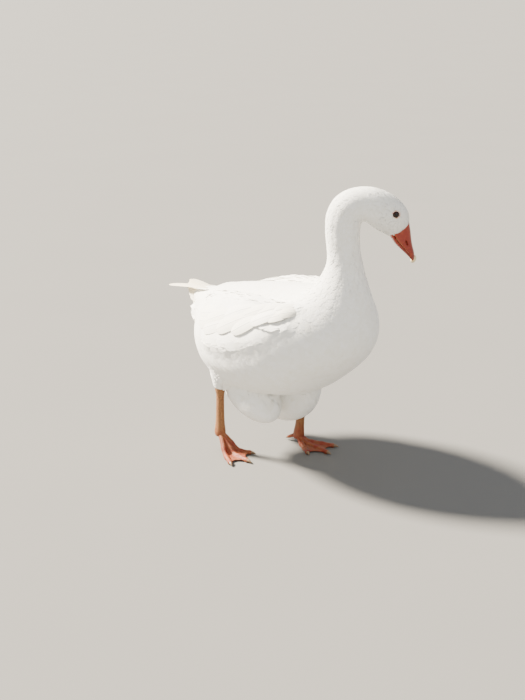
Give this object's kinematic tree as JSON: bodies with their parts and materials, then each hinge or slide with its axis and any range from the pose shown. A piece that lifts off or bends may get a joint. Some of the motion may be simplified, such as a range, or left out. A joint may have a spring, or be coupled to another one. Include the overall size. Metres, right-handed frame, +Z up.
{
  "type": "domestic goose",
  "caption": "White domestic goose, life size, walking with its neck arched and its bill pointing down: a still museum-style animal model.",
  "frame": {"origin": "on the floor, under the middle of the whole bird's bounding box", "axes": "+X the way the goose walks, +Y its left side, +Z up; the feet stand on the floor at Z = 0"},
  "size_m": [0.5712, 0.3078, 0.5617],
  "materials": {
    "plumage": "matt white feathers",
    "tail_plumage": "matt cream feathers",
    "eye": "wet gloss",
    "bill": "satin orange-red horn",
    "bill_nail": "satin ivory horn",
    "leg_skin": "scaly orange skin",
    "web_skin": "scaly red-orange skin",
    "claw": "satin dark horn"
  },
  "bodies": {
    "root": {"rump": "plumage", "trunk": "plumage", "breast": "plumage", "neck_lower": "plumage", "neck_middle": "plumage", "neck_upper": "plumage", "head": "plumage", "paunch_right": "plumage", "paunch_left": "plumage", "wing_right": "plumage", "wing_left": "plumage", "tail_coverts": "plumage", "thigh_right": "plumage", "thigh_left": "plumage", "tail": "tail_plumage", "flight_feather": "tail_plumage", "eye_right": "eye", "eye_left": "eye", "bill_upper": "bill", "bill_lower": "bill", "bill_nail": "bill_nail", "shank_right": "leg_skin", "foot_right": "web_skin", "claw_right_inner": "claw", "claw_right_middle": "claw", "claw_right_outer": "claw", "claw_right_hallux": "claw", "shank_left": "leg_skin", "foot_left": "web_skin", "claw_left_inner": "claw", "claw_left_middle": "claw", "claw_left_outer": "claw", "claw_left_hallux": "claw"}
  },
  "joints": []
}
